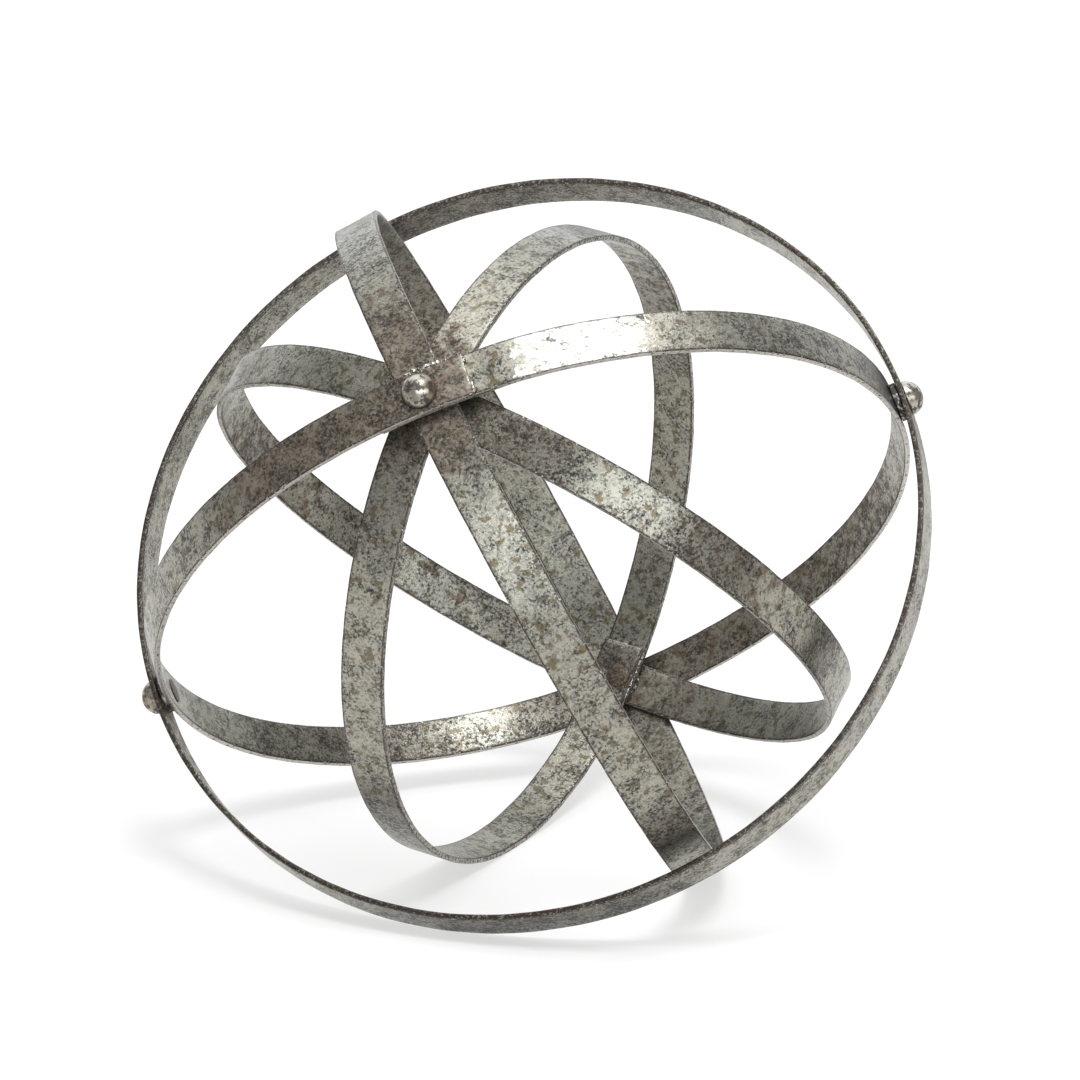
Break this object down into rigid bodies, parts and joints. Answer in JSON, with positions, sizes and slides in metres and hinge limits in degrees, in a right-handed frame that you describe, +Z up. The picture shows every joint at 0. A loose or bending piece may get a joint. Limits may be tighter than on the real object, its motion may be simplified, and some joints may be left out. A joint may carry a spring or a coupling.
{
  "type": "armillary sphere",
  "caption": "Decorative open sphere of flat riveted metal bands, nested and swivelling on two crossed rivet axes.",
  "frame": {"origin": "on the floor, under the middle of the resting orb's box", "axes": "+Z up as the orb rests, +X to the right and +Y away from the usual viewing side"},
  "size_m": [0.2224, 0.2064, 0.1863],
  "materials": {
    "galvanised_strap": "mottled galvanised zinc with a brown and olive patina",
    "rivet_steel": "worn smooth, spotted with patina",
    "dark_washer": "dark oxidised steel"
  },
  "bodies": {
    "carrier": {"carrier_band": "galvanised_strap", "rivet_front": "rivet_steel", "rivet_back": "rivet_steel", "rivet_right": "rivet_steel", "rivet_left": "rivet_steel", "washer_right": "dark_washer", "washer_left": "dark_washer", "washer_front_large": "dark_washer", "washer_front_middle": "dark_washer", "washer_front_small": "dark_washer", "washer_back_large": "dark_washer", "washer_back_middle": "dark_washer", "washer_back_small": "dark_washer"},
    "outer": {"outer_band": "galvanised_strap"},
    "large": {"large_inner_band": "galvanised_strap"},
    "middle": {"middle_inner_band": "galvanised_strap"},
    "small": {"small_inner_band": "galvanised_strap"}
  },
  "joints": [
    {"name": "outer_swing", "type": "hinge", "parent": "carrier", "child": "outer", "pos_m": [0.00013, -0.00118, 0.09273], "axis": [0.9171, 0.0019, 0.3986], "range_deg": [-80, 80]},
    {"name": "large_turn", "type": "hinge", "parent": "carrier", "child": "large", "pos_m": [0.00013, -0.00118, 0.09273], "axis": [-0.2847, -0.7282, 0.6234], "continuous": true},
    {"name": "middle_turn", "type": "hinge", "parent": "carrier", "child": "middle", "pos_m": [0.00013, -0.00118, 0.09273], "axis": [-0.2847, -0.7282, 0.6234], "continuous": true},
    {"name": "small_turn", "type": "hinge", "parent": "carrier", "child": "small", "pos_m": [0.00013, -0.00118, 0.09273], "axis": [-0.2847, -0.7282, 0.6234], "continuous": true}
  ]
}
